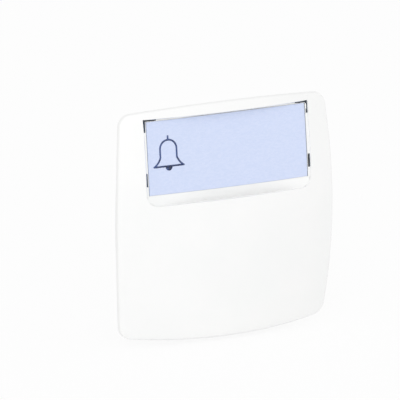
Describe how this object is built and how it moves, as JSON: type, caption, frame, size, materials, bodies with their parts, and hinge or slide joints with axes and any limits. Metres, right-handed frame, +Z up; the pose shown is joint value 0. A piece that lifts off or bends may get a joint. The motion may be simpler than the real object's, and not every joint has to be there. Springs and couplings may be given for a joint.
{
  "type": "doorbell push button",
  "caption": "Wall bell push: square pillow-shaped press plate with a clear label window and bell symbol, hinged over a shallow base with sprung contacts.",
  "frame": {"origin": "on the wall plane, behind the middle of the press plate", "axes": "+X to the right and +Z up as mounted; +Y into the wall, so the front faces -Y"},
  "size_m": [0.063, 0.015, 0.063],
  "materials": {
    "press_plastic": "smooth white moulded plastic, soft gloss",
    "clear_plastic": "clear moulded plastic",
    "label_paper": "pale blue card",
    "print_ink": "dark blue-grey print",
    "base_plastic": "fine matt white moulded plastic",
    "plunger_plastic": "dark grey slippery plastic",
    "soft_rubber": "grey rubber",
    "brass": "rolled brass",
    "steel": "zinc-plated steel",
    "contact_silver": "silver alloy"
  },
  "bodies": {
    "base": {"base_housing": "base_plastic", "hinge_pin": "steel", "cable_grommet": "soft_rubber", "contact_lid": "base_plastic", "lid_screws": "steel", "return_spring": "steel", "left_fixed_contact": "contact_silver", "right_fixed_contact": "contact_silver", "left_contact_strip": "brass", "right_contact_strip": "brass", "left_terminal": "brass", "right_terminal": "brass", "left_terminal_screw": "steel", "right_terminal_screw": "steel", "left_stop_pad": "soft_rubber", "right_stop_pad": "soft_rubber"},
    "press_plate": {"cover_plate": "press_plastic", "label_window": "clear_plastic", "name_label": "label_paper", "bell_symbol": "print_ink"},
    "plunger_set": {"plunger": "plunger_plastic", "contact_bridge": "brass", "bridge_clip": "steel", "left_moving_contact": "contact_silver", "right_moving_contact": "contact_silver"}
  },
  "joints": [
    {"name": "press_hinge", "type": "hinge", "parent": "base", "child": "press_plate", "pos_m": [0, -0.0045, 0.02241], "axis": [1, 0, 0], "range_deg": [0, 2.4], "stiffness_Nm_per_rad": 0.7, "springref_deg": -3.15},
    {"name": "plunger_slide", "type": "slide", "parent": "base", "child": "plunger_set", "axis": [0, 1, 0], "range_m": [0, 0.0013], "deforming": ["return_spring"]}
  ],
  "couplings": [
    {"joint": "plunger_slide", "follows": "press_hinge", "m_per_rad": 0.030414}
  ]
}
